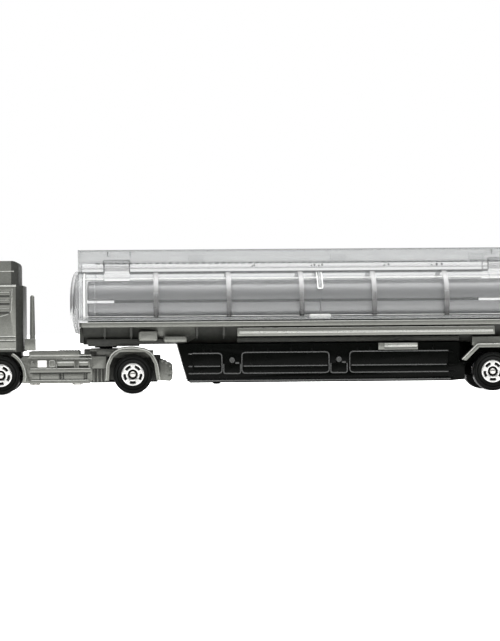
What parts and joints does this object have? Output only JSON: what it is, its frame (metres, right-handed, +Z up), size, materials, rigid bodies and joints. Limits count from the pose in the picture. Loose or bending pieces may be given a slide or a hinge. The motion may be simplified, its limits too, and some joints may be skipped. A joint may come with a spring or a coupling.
{
  "type": "toy articulated tanker truck",
  "caption": "Pocket-size die-cast toy tanker: silver cab-over tractor unit hinged to a trailer with a clear tank cover, silver drum and black skirts.",
  "frame": {"origin": "on the ground under the middle of the toy's box", "axes": "+X to the rear of the trailer, +Y to the toy's right side, +Z up"},
  "size_m": [0.1404, 0.0248, 0.0334],
  "materials": {
    "silver_casting": "fine metallic paint, satin gloss",
    "silver_drum": "silver metallic coating on moulded plastic",
    "clear_cover": "clear moulded plastic, polished",
    "black_plastic": "black moulded plastic, half gloss",
    "dark_plastic": "dark grey moulded plastic",
    "window_plastic": "smoke-tinted clear plastic",
    "wheel_plastic": "black moulded plastic, silver foil ring",
    "bright_steel": "nickel-plated steel, peened"
  },
  "bodies": {
    "trailer": {"tank_tray": "silver_casting", "tank_drum_lower": "silver_drum", "tank_drum_upper": "silver_drum", "tank_cover": "clear_cover", "trailer_base": "black_plastic", "trailer_axle_retainer": "black_plastic", "kingpin": "black_plastic", "trailer_rivet_front": "bright_steel", "trailer_rivet_middle": "bright_steel", "trailer_rivet_rear": "bright_steel", "valve_box_left": "silver_casting", "valve_box_right": "silver_casting"},
    "tractor": {"cab_shell": "silver_casting", "cab_windows": "window_plastic", "cab_interior": "dark_plastic", "front_grille": "dark_plastic", "front_bumper": "silver_casting", "tractor_chassis": "silver_casting", "tractor_base_plate": "black_plastic", "intake_stack": "silver_casting", "tractor_rivet_front": "bright_steel", "tractor_rivet_rear": "bright_steel"},
    "front_axle_group": {"front_axle": "bright_steel", "front_axle_spring": "bright_steel"},
    "front_wheel_left": {"front_wheel_left": "wheel_plastic"},
    "front_wheel_right": {"front_wheel_right": "wheel_plastic"},
    "drive_axle_group": {"drive_axle": "bright_steel", "drive_axle_spring": "bright_steel"},
    "drive_wheel_left": {"drive_wheel_left": "wheel_plastic"},
    "drive_wheel_right": {"drive_wheel_right": "wheel_plastic"},
    "trailer_axle_group": {"trailer_axle": "bright_steel", "trailer_axle_spring": "bright_steel"},
    "trailer_wheel_left": {"trailer_wheel_left": "wheel_plastic"},
    "trailer_wheel_right": {"trailer_wheel_right": "wheel_plastic"}
  },
  "joints": [
    {"name": "tractor_turn", "type": "hinge", "parent": "trailer", "child": "tractor", "pos_m": [-0.0333, 0, 0.0103], "axis": [0, 0, 1], "range_deg": [-85, 85]},
    {"name": "front_axle_rise", "type": "slide", "parent": "tractor", "child": "front_axle_group", "axis": [0, 0, 1], "range_m": [0, 0.0005], "stiffness_N_per_m": 250, "springref_m": -0.0024},
    {"name": "front_left_roll", "type": "hinge", "parent": "front_axle_group", "child": "front_wheel_left", "pos_m": [-0.0574, 0, 0.0045], "axis": [0, 1, 0], "continuous": true},
    {"name": "front_right_roll", "type": "hinge", "parent": "front_axle_group", "child": "front_wheel_right", "pos_m": [-0.0574, 0, 0.0045], "axis": [0, 1, 0], "continuous": true},
    {"name": "drive_axle_rise", "type": "slide", "parent": "tractor", "child": "drive_axle_group", "axis": [0, 0, 1], "range_m": [0, 0.0005], "stiffness_N_per_m": 250, "springref_m": -0.0024},
    {"name": "drive_left_roll", "type": "hinge", "parent": "drive_axle_group", "child": "drive_wheel_left", "pos_m": [-0.027, 0, 0.0045], "axis": [0, 1, 0], "continuous": true},
    {"name": "drive_right_roll", "type": "hinge", "parent": "drive_axle_group", "child": "drive_wheel_right", "pos_m": [-0.027, 0, 0.0045], "axis": [0, 1, 0], "continuous": true},
    {"name": "trailer_axle_rise", "type": "slide", "parent": "trailer", "child": "trailer_axle_group", "axis": [0, 0, 1], "range_m": [0, 0.0005], "stiffness_N_per_m": 250, "springref_m": -0.0024},
    {"name": "trailer_left_roll", "type": "hinge", "parent": "trailer_axle_group", "child": "trailer_wheel_left", "pos_m": [0.0565, 0, 0.0045], "axis": [0, 1, 0], "continuous": true},
    {"name": "trailer_right_roll", "type": "hinge", "parent": "trailer_axle_group", "child": "trailer_wheel_right", "pos_m": [0.0565, 0, 0.0045], "axis": [0, 1, 0], "continuous": true}
  ]
}
